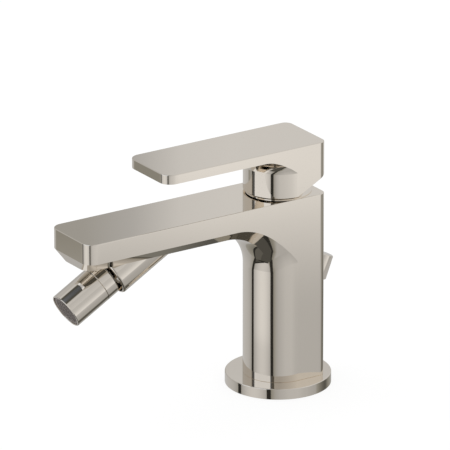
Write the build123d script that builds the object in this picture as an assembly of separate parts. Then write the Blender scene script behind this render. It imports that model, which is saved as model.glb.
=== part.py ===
# Bidet mixer: a single-lever deck mixer with a ball-jointed nozzle and a slanted pop-up knob.
# Millimetres. +Z is up, the spout points along -Y, the origin is the middle of the flange's underside.

import os
from math import asin, cos, pi, radians, sin, sqrt, tan

from build123d import *

# Outside of the casting
body_width = 38.5  # column, spout, hub and lever share it
rear_reach = 18.8  # column's axis to the flat rear faces
body_height = 104.8  # above the flange
spout_reach = 133.7
slab_height = 11.4
keel_depth = 5.7
keel_side_inset = 6.2
keel_front_inset = 2.8
arch_radius = 24.3  # hollow blend from column to spout
arch_sink = 0.05  # the arch starts this far inside the column's face
arch_steps = 10  # along the curve of each of its sections
keel_steps = 6  # sections across the keel's flat
bevel_steps = 4  # and across each of its bevels
corner_radius = 6.4  # upright front corners of spout and lever
rear_corner_radius = 4.5
edge_bevel = 0.4

# Flange and what lies under it
flange_radius = 29.0
flange_height = 6.0
spigot_radius = 16.6
spigot_clearance = 0.3
deck_gap = 0.6  # spigot stops this far above the deck
seal_outer_radius = 26.5
seal_inner_radius = 23.5
seal_height = 2.0

# Fixing stud and hose threads, at their tapping radius
stud_radius = 3.4
stud_depth = 16.0
stud_setback = 10.5  # ahead of the column's axis
hose_radius = 4.5
hose_depth = 12.0
hose_half_spacing = 8.2
passage_radius = 2.6

# Lever and hub
hub_gap = 1.1
hub_height = 28.4
lever_reach = 84.3
lever_thickness = 5.3
hub_blend_radius = 9.4
hub_rise_angle = 27.6  # underside climbs towards the rear
lift_angle = 25.0
stem_roof = 4.0
stem_end_gap = 0.3
socket_clearance = 0.05
grub_radius = 2.5
grub_length = 8.0
grub_key_width = 2.5
grub_key_depth = 3.0
cap_radius = 3.0
cap_depth = 2.0

# Cartridge, from the stem's pivot down
pivot_depth = 2.0  # below the casting's top
stem_width = 7.0
stem_eye_radius = 3.5
stem_arm = 8.2  # pivot to the ball at the stem's lower end
stem_arm_radius = 2.0
stem_ball_radius = 2.5
pin_radius = 1.5
pin_end_gap = 0.4
pin_fit = 0.03
pin_running = 0.06
driver_height = 4.45
driver_over_ball = 1.2
driver_flat = 7.85  # half width across the guiding flats
driver_socket_gap = 0.3
driver_peg_radius = 0.8
driver_peg_height = 1.2
driver_peg_offset = 5.6
slide_gap = 0.2
carrier_plate = 2.4
carrier_radius = 12.0
carrier_neck_radius = 8.0
carrier_neck_height = 9.0  # above the pivot
carrier_slot_drop = 1.0  # front stop ends this far below the pivot
moving_radius = 8.2
moving_thickness = 3.5
moving_recess_radius = 4.4
moving_recess_setback = 3.2
moving_recess_depth = 1.6
disc_gap = 0.05
fixed_radius = 12.2
fixed_thickness = 4.0
port_radius = 2.2
port_half_spacing = 5.0
port_ahead = 2.0
outlet_port_radius = 2.6
outlet_port_behind = 5.2
gasket_thickness = 0.8
base_height = 5.0
base_plug_height = 2.0
base_plug_clearance = 0.1
base_window_height = 1.8
base_window_floor = 1.0
base_peg_radius = 1.5
base_peg_height = 2.0
base_peg_offset = 10.0
base_peg_behind = 4.0
inlet_seal_radius = 3.8
inlet_seal_height = 1.2
housing_radius = 14.0
housing_bore_radius = 12.4
housing_roof = 1.7
housing_neck_clearance = 0.3
o_ring_section_radius = 0.8  # to the flats of its eight-sided section
o_ring_clearance = 0.05
water_gap = 1.0  # round the housing, inside the casting's bore
nut_radius = 16.0
nut_clearance = 0.1
nut_recess = 1.0
nut_key_radius = 9.7  # to the flats of its hexagon
thread_relief = 0.5

# Trim dome over the cartridge, centred on the stem's pivot
dome_radius = 14.3
dome_wall = 1.0
dome_opening_radius = 10.2
dome_plate_radius = 18.2
dome_plate_height = 0.5
dome_skirt_wall = 1.0
dome_gap = 0.7  # under the hub's roof
hub_bore_clearance = 0.9

# Water way inside the spout
duct_side_wall = 5.0
duct_top_wall = 3.0
duct_bottom_wall = 3.7
duct_front_wall = 4.5
duct_rear = 25.0  # ahead of the column's axis
throat_width = 14.0
throat_height = 5.2
throat_groove = 1.8

# Swivel nozzle, measured along its own axis from the ball's centre
nozzle_angle = 29.6  # below the horizontal
ball_setback = 20.2  # behind the spout's tip
ball_drop = 12.2  # below the keel
ball_radius = 7.2
ball_flat = 6.4
ball_neck_radius = 4.4
ball_bore_radius = 3.2
ball_collar_radius = 9.5
ball_collar_height = 1.6
ball_collar_gap = 7.5  # ball's centre to the collar
washer_thickness = 1.0
shank_radius = 7.0
shank_length = 7.0
shank_clearance = 0.05
shank_bore_radius = 5.0
boss_radius = 12.7
boss_gap = 5.1  # ball's centre to the boss's face
boss_rim_bevel = 1.0
boss_pocket_radius = 11.3
swivel_clearance = 0.25
upper_seat_wall = 0.7
upper_seat_start = 55.0  # polar angles, from the nozzle's axis
upper_seat_end = 88.0
nozzle_radius = 10.15
nozzle_length = 25.9
ring_height = 3.5  # above the ball's centre
ring_skirt = 3.7  # below it
ring_edge_bevel = 0.7
nozzle_seam = 0.1
spigot_outer_radius = 9.2
spigot_inner_radius = 8.45
ring_spigot_length = 5.7
thread_clearance = 0.05
lower_seat_radius = 8.2
lower_seat_top = 2.7
lower_seat_bottom = 8.0
lower_seat_bore_radius = 5.0
seat_seal_thickness = 1.3
seat_seal_gap = 0.1
ledge_radius = 7.4
ledge_thickness = 6.9
aerator_bore_radius = 9.2
aerator_clearance = 0.1
aerator_recess = 0.6
aerator_washer_height = 1.2
aerator_washer_radius = 6.8
screen_thickness = 0.5
screen_hole_radius = 0.8  # to the flats of its hexagons
screen_hole_pitch = 2.6
screen_hole_rings = 2
aerator_face = 1.6
aerator_wall = 0.9
aerator_hole_radius = 0.95  # to the flats too
aerator_hole_pitch = 2.4
aerator_hole_rings = 3
rim_chamfer = 0.25

# Pop-up knob and rod, on one slanted axis
knob_tilt = 21.5  # towards the rear, from upright
knob_radius = 5.7
knob_length = 13.6
knob_edge = 0.4
knob_foot_behind = 5.7  # foot's centre, behind the rear face
knob_foot_height = 55.4
knob_socket_depth = 8.0
rod_radius = 2.0
rod_running = 0.08
rod_fit = 0.03
rod_bore_clearance = 0.5
rod_deck_gap = 1.0
bush_radius = 3.2
bush_length = 12.0
bush_fit = 0.03

overrun = 2.0  # how far cutting tools pass the faces that they cut

# Heights and places that follow from the sizes above
half_width = body_width / 2
body_top = flange_height + body_height
slab_bottom = body_top - slab_height
keel_bottom = slab_bottom - keel_depth
keel_half_width = half_width - keel_side_inset
hub_bottom = body_top + hub_gap
lever_top = hub_bottom + hub_height
lever_bottom = lever_top - lever_thickness
pivot_z = body_top - pivot_depth
stem_ball_z = pivot_z - stem_arm
driver_top = stem_ball_z + driver_over_ball
driver_bottom = driver_top - driver_height
carrier_plate_bottom = driver_top + slide_gap
carrier_plate_top = carrier_plate_bottom + carrier_plate
carrier_slot_half = stem_width / 2 + slide_gap
moving_bottom = driver_bottom - moving_thickness
fixed_top = moving_bottom - disc_gap
fixed_bottom = fixed_top - fixed_thickness
base_top = fixed_bottom - gasket_thickness
base_shoulder = base_top - base_plug_height
bore_floor = base_top - base_height
housing_ceiling = carrier_plate_top + slide_gap
housing_top = housing_ceiling + housing_roof
bore_radius = housing_radius + water_gap
nut_top = body_top - nut_recess
thread_bottom = housing_top - thread_relief
o_ring_z = (carrier_plate_bottom + housing_top) / 2
o_ring_major_radius = bore_radius - o_ring_clearance - o_ring_section_radius
hub_roof = pivot_z + dome_radius + dome_gap
hub_bore_radius = dome_radius + hub_bore_clearance
socket_top = lever_top - stem_roof
stem_top = socket_top - stem_end_gap
grub_z = (hub_roof + lever_bottom) / 2
collar_top = ball_collar_gap + ball_collar_height
pocket_floor = collar_top + washer_thickness
shank_end = collar_top + shank_length
seat_outer_radius = ball_radius + swivel_clearance + upper_seat_wall
cavity_radius = seat_outer_radius + swivel_clearance
spigot_end = ring_skirt + ring_spigot_length
ledge_top = lower_seat_bottom + seat_seal_gap + seat_seal_thickness
ledge_bottom = ledge_top + ledge_thickness
washer_bottom = ledge_bottom + aerator_washer_height
screen_bottom = washer_bottom + screen_thickness
aerator_end = nozzle_length - aerator_recess
aerator_radius = aerator_bore_radius - aerator_clearance
rod_entry = knob_foot_behind / sin(radians(knob_tilt))
rod_drop = knob_foot_height - rod_deck_gap - rod_radius * sin(radians(knob_tilt))
rod_length = rod_drop / cos(radians(knob_tilt))
bush_mouth = (bush_radius + overrun) / tan(radians(knob_tilt)) - rod_entry
disc_travel = stem_arm * sin(radians(lift_angle))

# Local frames: the nozzle's z climbs back into the boss, the rod's z climbs into the knob
nozzle_frame = Plane(
    origin=(0, ball_setback - spout_reach, keel_bottom - ball_drop),
    x_dir=(1, 0, 0),
    z_dir=(0, cos(radians(nozzle_angle)), sin(radians(nozzle_angle))),
)
rod_frame = Plane(
    origin=(0, rear_reach + knob_foot_behind, knob_foot_height),
    x_dir=(1, 0, 0),
    z_dir=(0, sin(radians(knob_tilt)), cos(radians(knob_tilt))),
)


# Plain shapes

def turned(*outline):
    # a solid of revolution about Z from (radius, height) points
    points = [(radius, 0, height) for radius, height in outline]
    return revolve(make_face(Polyline(*points, close=True)), Axis.Z)


def disc(radius, low, high):
    return turned((0, low), (radius, low), (radius, high), (0, high))


def tube(outer, inner, low, high):
    return turned((inner, low), (outer, low), (outer, high), (inner, high))


def block(x_low, x_high, y_low, y_high, z_low, z_high):
    middle = Pos((x_low + x_high) / 2, (y_low + y_high) / 2, (z_low + z_high) / 2)
    return middle * Box(x_high - x_low, y_high - y_low, z_high - z_low)


def straight_bore(start, end, radius):
    way = Vector(*end) - Vector(*start)
    return Plane(origin=start, z_dir=way) * disc(radius, 0, way.length)


def cross_bore(radius, half_length, height):
    # a round bar along X
    return straight_bore((-half_length, 0, height), (half_length, 0, height), radius)


def sphere_arc(radius, first_angle, last_angle):
    # an arc about the origin in the XZ plane, by polar angles from +Z
    angles = (first_angle, (first_angle + last_angle) / 2, last_angle)
    points = [(radius * sin(radians(a)), 0, radius * cos(radians(a))) for a in angles]
    return ThreePointArc(*points)


def flat_sided(radius, sides):
    # a regular polygon by the distance to its flats, with one flat square to X
    return RegularPolygon(radius, sides, major_radius=False, rotation=180 / sides)


def hole_grid(rings, pitch, radius, low, high):
    # six-sided holes in a honeycomb, one in the middle and the given rings round it
    hole = Pos(0, 0, low) * extrude(flat_sided(radius, 6), high - low)
    holes = []
    for row in range(-rings, rings + 1):
        count = 2 * rings + 1 - abs(row)
        for column in range(count):
            x = (column - (count - 1) / 2) * pitch
            y = row * pitch * sqrt(3) / 2
            holes.append(Pos(x, y, 0) * hole)
    return holes


def rounded_rear_plan():
    # half round in front, flat sides, rounded corners behind
    front = Circle(half_width) & Pos(0, -half_width / 2) * Rectangle(body_width, half_width)
    rear = Pos(0, rear_reach / 2) * Rectangle(body_width, rear_reach)
    plan = front + rear
    return fillet(plan.vertices().group_by(Axis.Y)[-1], rear_corner_radius)


def slab_plan(reach, rear, side_inset=0, front_inset=0):
    # a straight slab from the rear to its tip, its front corners rounded
    tip = reach - front_inset
    width = body_width - 2 * side_inset
    plan = Pos(0, (rear - tip) / 2) * Rectangle(width, rear + tip)
    return fillet(plan.vertices().group_by(Axis.Y)[0], corner_radius)


def hollow_blend(radius, ceiling, roof):
    # the hollow of the given radius between a round post and the slab over it
    low = ceiling - radius
    post = half_width
    reach = post + radius
    middle_share = sqrt(2) / 2
    middle = (reach - radius * middle_share, 0, low + radius * middle_share)
    curve = ThreePointArc((post, 0, low), middle, (reach, 0, ceiling))
    rest = Polyline((reach, 0, ceiling), (reach, 0, roof), (0, 0, roof), (0, 0, low), (post, 0, low))
    ring = revolve(make_face(curve + rest), Axis.Z)
    return ring & block(-half_width, half_width, -reach, 0, low, roof)


def bevel_top_edges(solid, height, bevel):
    edges = [e for e in solid.edges() if abs(e.center().Z - height) < bevel / 10]
    return chamfer(edges, bevel)


# Casting and base

def nozzle_boss():
    climb = sin(radians(nozzle_angle))
    lean = cos(radians(nozzle_angle))
    length = (ball_drop + keel_depth + boss_radius * lean) / climb
    boss = disc(boss_radius, boss_gap, length)
    rim = boss.edges().group_by(Axis.Z)[0]
    boss = nozzle_frame * chamfer(rim, boss_rim_bevel)
    middle = (slab_bottom + body_top) / 2
    return boss & block(-half_width, half_width, -spout_reach, 0, 0, middle)


def spout_keel():
    top = Pos(0, 0, slab_bottom) * slab_plan(spout_reach, 0)
    bottom = Pos(0, 0, keel_bottom) * slab_plan(spout_reach, 0, keel_side_inset, keel_front_inset)
    return loft([bottom.face(), top.face()], ruled=True)


def arch_section(side, roof):
    # the arch cut by an upright plane at the given distance from the middle
    past_keel = max(0, abs(side) - keel_half_width)
    low = keel_bottom + keel_depth * past_keel / keel_side_inset - arch_radius
    points = []
    for step in range(arch_steps + 1):
        turn = pi / 2 * step / arch_steps
        reach = half_width - arch_sink + arch_radius * (1 - cos(turn))
        points.append((side, -sqrt(max(0, reach ** 2 - side ** 2)), low + arch_radius * sin(turn)))
    front = points[-1][1]
    back = rear_reach / 2
    rest = Polyline(points[-1], (side, front, roof), (side, back, roof), (side, back, low), points[0])
    return make_face(Spline(*points) + rest)


def spout_arch(roof):
    # the keel's flat and its bevels, swept down the arch into the column's round front
    flat = [keel_half_width * (2 * step / keel_steps - 1) for step in range(keel_steps + 1)]
    bevel = [keel_half_width + keel_side_inset * step / bevel_steps for step in range(bevel_steps + 1)]
    middle = loft([arch_section(side, roof) for side in flat])
    shoulder = loft([arch_section(side, roof) for side in bevel], ruled=True)
    return [middle, shoulder, mirror(shoulder, about=Plane.YZ)]


def body_outside():
    column = Pos(0, 0, flange_height) * extrude(rounded_rear_plan(), body_height)
    slab = Pos(0, 0, slab_bottom) * extrude(slab_plan(spout_reach, 0), slab_height)
    solid = bevel_top_edges(column + slab, body_top, edge_bevel)
    for piece in (*spout_arch((slab_bottom + body_top) / 2), spout_keel(), nozzle_boss()):
        solid += piece
    return solid + disc(spigot_radius, deck_gap, flange_height + edge_bevel)


def cartridge_bore():
    seat = disc(bore_radius, bore_floor, thread_bottom)
    thread = disc(nut_radius, thread_bottom, body_top + overrun)
    pegs = [
        Pos(side * base_peg_offset, base_peg_behind, 0)
        * disc(base_peg_radius + base_plug_clearance, bore_floor - base_peg_height - overrun, bore_floor)
        for side in (-1, 1)
    ]
    return seat + thread + pegs


def water_ways():
    side = half_width - duct_side_wall
    floor = keel_bottom + duct_bottom_wall
    front = duct_front_wall - spout_reach
    duct = block(-side, side, front, -duct_rear, floor, body_top - duct_top_wall)
    half_throat = throat_width / 2
    throat = block(-half_throat, half_throat, -duct_rear - overrun, 0, floor, floor + throat_height)
    groove_front = bore_radius + throat_groove
    groove = block(-half_throat, half_throat, -groove_front, 0, base_shoulder, floor + overrun)
    axis_climb = sin(radians(nozzle_angle))
    bore_end = (floor - keel_bottom + ball_drop + overrun) / axis_climb
    shank = disc(shank_radius + shank_clearance, pocket_floor, shank_end + shank_clearance)
    pocket = disc(boss_pocket_radius, boss_gap - overrun / 4, pocket_floor)
    nozzle = nozzle_frame * (disc(shank_bore_radius, boss_gap, bore_end) + shank + pocket)
    ways = duct + throat + groove + nozzle
    for side in (-1, 1):
        hose = Pos(side * hose_half_spacing, -port_ahead, 0)
        ways += hose * disc(hose_radius, deck_gap - overrun, deck_gap + hose_depth)
        start = (side * hose_half_spacing, -port_ahead, deck_gap + hose_depth - overrun)
        end = (side * port_half_spacing, -port_ahead, bore_floor)
        ways += straight_bore(start, end, passage_radius)
    return ways


def mixer_body():
    stud = Pos(0, -stud_setback, 0) * disc(stud_radius, deck_gap - overrun, deck_gap + stud_depth)
    bush_end = -rod_entry - bush_length
    below = -rod_length - overrun * 2
    rod_way = disc(rod_radius + rod_bore_clearance, below, bush_end + overrun)
    bush_way = disc(bush_radius + bush_fit, bush_end, bush_mouth)
    solid = body_outside() - cartridge_bore() - water_ways() - stud
    return solid - rod_frame * rod_way - rod_frame * bush_way


def base_flange():
    plate = tube(flange_radius, spigot_radius + spigot_clearance, 0, flange_height)
    rim = plate.edges().filter_by(GeomType.CIRCLE).sort_by(SortBy.RADIUS)[-2:]
    plate = chamfer(rim.sort_by(Axis.Z)[-1], edge_bevel)
    return plate - tube(seal_outer_radius, seal_inner_radius, -overrun, seal_height)


def base_seal():
    return tube(seal_outer_radius, seal_inner_radius, 0, seal_height)


# Cartridge

def cartridge_base():
    solid = disc(housing_radius, bore_floor, base_shoulder)
    solid += disc(housing_bore_radius - base_plug_clearance, base_shoulder, base_top)
    for side in (-1, 1):
        peg = disc(base_peg_radius, bore_floor - base_peg_height, bore_floor + base_peg_height / 2)
        solid += Pos(side * base_peg_offset, base_peg_behind, 0) * peg
        port = disc(port_radius, bore_floor - overrun, base_top + overrun)
        port += disc(inlet_seal_radius, bore_floor - overrun, bore_floor + inlet_seal_height)
        solid -= Pos(side * port_half_spacing, -port_ahead, 0) * port
    window_floor = bore_floor + base_window_floor
    outlet = Pos(0, outlet_port_behind, 0) * disc(outlet_port_radius, window_floor, base_top + overrun)
    window = block(-outlet_port_radius, outlet_port_radius, outlet_port_behind,
                   housing_radius + overrun, window_floor, window_floor + base_window_height)
    return solid - outlet - window


def port_pair(radius, low, high):
    pair = disc(radius, low, high)
    return [Pos(side * port_half_spacing, -port_ahead, 0) * pair for side in (-1, 1)]


def inlet_seals():
    rings = tube(inlet_seal_radius, port_radius, bore_floor, bore_floor + inlet_seal_height)
    places = [Pos(side * port_half_spacing, -port_ahead, 0) for side in (-1, 1)]
    return Compound([place * rings for place in places])


def ported_disc(radius, low, high):
    solid = disc(radius, low, high) - port_pair(port_radius, low - overrun, high + overrun)
    outlet = disc(outlet_port_radius, low - overrun, high + overrun)
    return solid - Pos(0, outlet_port_behind, 0) * outlet


def moving_disc():
    solid = disc(moving_radius, moving_bottom, driver_bottom)
    recess = disc(moving_recess_radius, moving_bottom - overrun, moving_bottom + moving_recess_depth)
    solid -= Pos(0, moving_recess_setback, 0) * recess
    depth = driver_bottom - driver_peg_height - slide_gap
    hole = disc(driver_peg_radius + base_plug_clearance, depth, driver_bottom + overrun)
    return solid - [Pos(side * driver_peg_offset, 0, 0) * hole for side in (-1, 1)]


def disc_driver():
    solid = disc(moving_radius, driver_bottom, driver_top)
    solid &= block(-driver_flat, driver_flat, -moving_radius, moving_radius, driver_bottom, driver_top)
    peg = disc(driver_peg_radius, driver_bottom - driver_peg_height, driver_top - slide_gap)
    solid += [Pos(side * driver_peg_offset, 0, 0) * peg for side in (-1, 1)]
    return solid - disc(stem_ball_radius + driver_socket_gap, driver_bottom - overrun, driver_top + overrun)


def stem_carrier():
    skirt_bottom = driver_bottom + slide_gap
    neck_top = pivot_z + carrier_neck_height
    solid = disc(carrier_radius, skirt_bottom, carrier_plate_top)
    solid += disc(carrier_neck_radius, carrier_plate_top, neck_top)
    channel = driver_flat + slide_gap
    solid -= block(-channel, channel, -carrier_radius, carrier_radius,
                   skirt_bottom - overrun, carrier_plate_bottom)
    swing = stem_arm * sin(radians(lift_angle)) + stem_ball_radius + slide_gap
    stop = pivot_z - carrier_slot_drop
    back = stem_eye_radius + slide_gap * 2
    solid -= block(-carrier_slot_half, carrier_slot_half, -swing, back,
                   carrier_plate_bottom - overrun, stop)
    solid -= block(-carrier_slot_half, carrier_slot_half, -carrier_slot_half, carrier_radius,
                   stop, neck_top + overrun)
    solid -= disc(stem_ball_radius + driver_socket_gap, carrier_plate_bottom - overrun, pivot_z)
    return solid - cross_bore(pin_radius + pin_fit, carrier_radius, pivot_z)


def lever_stem():
    half = stem_width / 2
    solid = block(-half, half, -half, half, pivot_z, stem_top)
    solid += cross_bore(stem_eye_radius, half, pivot_z)
    solid += disc(stem_arm_radius, stem_ball_z, pivot_z)
    solid += Pos(0, 0, stem_ball_z) * Sphere(stem_ball_radius)
    return solid - cross_bore(pin_radius + pin_running, stem_width, pivot_z)


def stem_pin():
    return cross_bore(pin_radius, carrier_neck_radius - pin_end_gap, pivot_z)


def o_ring(section_radius):
    section = Plane.XZ * Pos(o_ring_major_radius, o_ring_z) * flat_sided(section_radius, 8)
    return revolve(section, Axis.Z)


def cartridge_housing():
    solid = tube(housing_radius, housing_bore_radius, base_shoulder, housing_ceiling)
    neck = carrier_neck_radius + housing_neck_clearance
    solid += tube(housing_radius, neck, housing_ceiling, housing_top)
    groove_radius = o_ring_major_radius - o_ring_section_radius
    half = o_ring_section_radius + o_ring_clearance
    return solid - tube(bore_radius, groove_radius, o_ring_z - half, o_ring_z + half)


def cartridge_nut():
    ring = disc(nut_radius - nut_clearance, housing_top, nut_top)
    key = extrude(flat_sided(nut_key_radius, 6), nut_top - housing_top + overrun * 2)
    return ring - Pos(0, 0, housing_top - overrun) * key


def cover_dome():
    hollow_radius = dome_radius - dome_wall
    mouth = asin(dome_opening_radius / hollow_radius)
    turns = (pi / 2, (pi / 2 + mouth) / 2, mouth)
    side = [(hollow_radius * sin(turn), hollow_radius * cos(turn)) for turn in turns]
    hollow = turned((0, 0), *side, (0, hollow_radius * cos(mouth)))
    shell = Pos(0, 0, pivot_z) * (Sphere(dome_radius) - hollow)
    shell &= disc(dome_plate_radius, body_top, pivot_z + dome_radius + overrun)
    shell -= disc(dome_opening_radius, pivot_z, pivot_z + dome_radius + overrun)
    inside = sqrt((dome_radius - dome_wall / 2) ** 2 - pivot_depth ** 2)
    plate = tube(dome_plate_radius, inside, body_top, body_top + dome_plate_height)
    skirt_radius = nut_radius - nut_clearance
    skirt = tube(skirt_radius, skirt_radius - dome_skirt_wall, nut_top + slide_gap, body_top)
    return shell + plate + skirt


# Lever

def lever_handle():
    hub = Pos(0, 0, hub_bottom) * extrude(rounded_rear_plan(), hub_height)
    slab = Pos(0, 0, lever_bottom) * extrude(slab_plan(lever_reach, 0), lever_thickness)
    blend = hollow_blend(hub_blend_radius, lever_bottom, (lever_bottom + lever_top) / 2)
    solid = bevel_top_edges(hub + slab + blend, lever_top, edge_bevel)
    rise = (rear_reach + overrun) * tan(radians(hub_rise_angle))
    wedge_side = Polyline(
        (0, 0, hub_bottom),
        (0, rear_reach + overrun, hub_bottom + rise),
        (0, rear_reach + overrun, hub_bottom),
        close=True,
    )
    solid -= extrude(make_face(wedge_side), half_width + overrun, dir=(1, 0, 0), both=True)
    solid -= disc(hub_bore_radius, hub_bottom - overrun, hub_roof)
    half = stem_width / 2 + socket_clearance
    solid -= block(-half, half, -half, half, hub_roof - overrun, socket_top)
    outside = (0, rear_reach + overrun, grub_z)
    screw_way = straight_bore((0, 0, grub_z), outside, grub_radius + socket_clearance)
    cap_way = straight_bore((0, rear_reach - cap_depth, grub_z), outside, cap_radius + socket_clearance)
    return solid - screw_way - cap_way


def lever_grub_screw():
    tip = stem_width / 2 + socket_clearance
    back = tip + grub_length
    screw = straight_bore((0, tip, grub_z), (0, back, grub_z), grub_radius)
    key_plane = Plane(origin=(0, back + overrun, grub_z), z_dir=(0, -1, 0))
    return screw - key_plane * extrude(flat_sided(grub_key_width / 2, 6), grub_key_depth + overrun)


def screw_cap():
    return straight_bore((0, rear_reach - cap_depth, grub_z), (0, rear_reach, grub_z), cap_radius)


# Nozzle, each piece in its own frame first

def ball_connector():
    solid = Sphere(ball_radius) - disc(ball_radius, -ball_radius - overrun, -ball_flat)
    solid += disc(ball_neck_radius, 0, ball_collar_gap + ball_collar_height / 2)
    collar = RegularPolygon(ball_collar_radius, side_count=6)
    solid += Pos(0, 0, ball_collar_gap) * extrude(collar, ball_collar_height)
    solid += disc(shank_radius, collar_top - ball_collar_height / 2, shank_end)
    return solid - disc(ball_bore_radius, -ball_radius - overrun, shank_end + overrun)


def connector_washer():
    return tube(ball_collar_radius, shank_radius + shank_clearance, collar_top, pocket_floor)


def upper_ball_seat():
    outer = sphere_arc(seat_outer_radius, upper_seat_start, upper_seat_end)
    inner = sphere_arc(ball_radius + swivel_clearance, upper_seat_start, upper_seat_end)
    edges = Line(outer @ 0, inner @ 0) + Line(outer @ 1, inner @ 1)
    return revolve(make_face(outer + inner + edges), Axis.Z)


def lower_ball_seat():
    ring = tube(lower_seat_radius, lower_seat_bore_radius, -lower_seat_bottom, -lower_seat_top)
    return ring - Sphere(ball_radius + swivel_clearance)


def socket_ring():
    outside = disc(nozzle_radius, -ring_skirt, ring_height)
    rim = outside.edges().group_by(Axis.Z)[-1]
    outside = chamfer(rim, ring_edge_bevel)
    outside += disc(spigot_outer_radius, -spigot_end, -ring_skirt + overrun / 4)
    return outside - Sphere(cavity_radius) - disc(spigot_inner_radius, -spigot_end - overrun, 0)


def seat_seal():
    return tube(lower_seat_radius, ledge_radius, -ledge_top, -lower_seat_bottom - seat_seal_gap)


def nozzle_sleeve():
    top = -ring_skirt - nozzle_seam
    solid = disc(nozzle_radius, -nozzle_length, top)
    end_edges = solid.edges().group_by(Axis.Z)[0]
    solid = chamfer(end_edges, rim_chamfer)
    solid -= disc(spigot_outer_radius + thread_clearance, -ledge_top, top + overrun)
    solid -= disc(ledge_radius, -nozzle_length, top)
    return solid - disc(aerator_bore_radius, -nozzle_length - overrun, -ledge_bottom)


def aerator_washer():
    return tube(aerator_radius, aerator_washer_radius, -washer_bottom, -ledge_bottom)


def aerator_screen():
    plate = disc(aerator_radius, -screen_bottom, -washer_bottom)
    low = -screen_bottom - overrun
    high = -washer_bottom + overrun
    return plate - hole_grid(screen_hole_rings, screen_hole_pitch, screen_hole_radius, low, high)


def aerator_insert():
    cup = disc(aerator_radius, -aerator_end, -screen_bottom)
    cup -= disc(aerator_radius - aerator_wall, -aerator_end + aerator_face, -screen_bottom + overrun)
    low = -aerator_end - overrun
    high = -aerator_end + aerator_face + overrun
    return cup - hole_grid(aerator_hole_rings, aerator_hole_pitch, aerator_hole_radius, low, high)


# Pop-up knob, in the rod's frame first

def lift_knob():
    knob = disc(knob_radius, 0, knob_length)
    knob = chamfer(knob.edges().filter_by(GeomType.CIRCLE), knob_edge)
    return knob - disc(rod_radius + rod_fit, -overrun, knob_socket_depth)


def lift_rod():
    return disc(rod_radius, -rod_length, knob_socket_depth)


def rod_guide_bush():
    bush = tube(bush_radius, rod_radius + rod_running, -rod_entry - bush_length, bush_mouth)
    return rod_frame * bush & block(-half_width, half_width, 0, rear_reach, 0, body_top)


pieces = {
    "mixer_body": mixer_body(),
    "base_flange": base_flange(),
    "base_seal": base_seal(),
    "cartridge_base": cartridge_base(),
    "inlet_seals": inlet_seals(),
    "disc_gasket": ported_disc(fixed_radius, base_top, fixed_bottom),
    "fixed_disc": ported_disc(fixed_radius, fixed_bottom, fixed_top),
    "moving_disc": moving_disc(),
    "disc_driver": disc_driver(),
    "stem_carrier": stem_carrier(),
    "lever_stem": lever_stem(),
    "stem_pin": stem_pin(),
    "cartridge_housing": cartridge_housing(),
    "housing_o_ring": o_ring(o_ring_section_radius),
    "cartridge_nut": cartridge_nut(),
    "cover_dome": cover_dome(),
    "lever_handle": lever_handle(),
    "lever_grub_screw": lever_grub_screw(),
    "screw_cap": screw_cap(),
    "ball_connector": nozzle_frame * ball_connector(),
    "connector_washer": nozzle_frame * connector_washer(),
    "upper_ball_seat": nozzle_frame * upper_ball_seat(),
    "lower_ball_seat": nozzle_frame * lower_ball_seat(),
    "socket_ring": nozzle_frame * socket_ring(),
    "seat_seal": nozzle_frame * seat_seal(),
    "nozzle_sleeve": nozzle_frame * nozzle_sleeve(),
    "aerator_washer": nozzle_frame * aerator_washer(),
    "aerator_screen": nozzle_frame * aerator_screen(),
    "aerator_insert": nozzle_frame * aerator_insert(),
    "lift_knob": rod_frame * lift_knob(),
    "lift_rod": rod_frame * lift_rod(),
    "rod_guide_bush": rod_guide_bush(),
}

os.makedirs("parts", exist_ok=True)
for name, shape in pieces.items():
    export_step(shape, f"parts/{name}.step")

print(f"disc travel over the lever's lift: {disc_travel:.3f} mm")
print(f"ball centre: {nozzle_frame.origin.Y:.3f}, {nozzle_frame.origin.Z:.3f}")
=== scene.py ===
from math import asin, atan2, cos, degrees, pi, radians, sin, sqrt

import bmesh
import bpy
from mathutils import Matrix, Vector


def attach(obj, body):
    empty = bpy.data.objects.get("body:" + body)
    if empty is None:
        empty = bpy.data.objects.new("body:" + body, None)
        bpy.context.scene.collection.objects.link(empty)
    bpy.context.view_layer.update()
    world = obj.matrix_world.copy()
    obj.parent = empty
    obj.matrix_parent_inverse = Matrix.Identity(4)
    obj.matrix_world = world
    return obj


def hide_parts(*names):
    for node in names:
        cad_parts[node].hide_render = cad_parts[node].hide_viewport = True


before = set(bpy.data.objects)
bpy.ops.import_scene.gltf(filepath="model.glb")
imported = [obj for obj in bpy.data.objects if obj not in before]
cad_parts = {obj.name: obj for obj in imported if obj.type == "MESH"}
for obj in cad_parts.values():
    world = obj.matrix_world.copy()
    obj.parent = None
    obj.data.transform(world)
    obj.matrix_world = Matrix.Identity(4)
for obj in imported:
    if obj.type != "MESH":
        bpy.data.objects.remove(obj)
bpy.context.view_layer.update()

mm = 0.001  # sizes below are in millimetres, meshes in metres


# Node trees: one wrapper for values, one method for nodes

class nodeValue:
    # a socket that takes part in arithmetic
    def __init__(self, tree, socket):
        self.tree = tree
        self.socket = socket

    def maths(self, operation, first, second):
        return self.tree.node("ShaderNodeMath", {"operation": operation}, {0: first, 1: second})

    def __add__(self, other):
        return self.maths("ADD", self, other)

    def __radd__(self, other):
        return self.maths("ADD", other, self)

    def __sub__(self, other):
        return self.maths("SUBTRACT", self, other)

    def __rsub__(self, other):
        return self.maths("SUBTRACT", other, self)

    def __mul__(self, other):
        return self.maths("MULTIPLY", self, other)

    def __rmul__(self, other):
        return self.maths("MULTIPLY", other, self)

    def __truediv__(self, other):
        return self.maths("DIVIDE", self, other)

    def __abs__(self):
        return self.maths("ABSOLUTE", self, 0.0)


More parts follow.
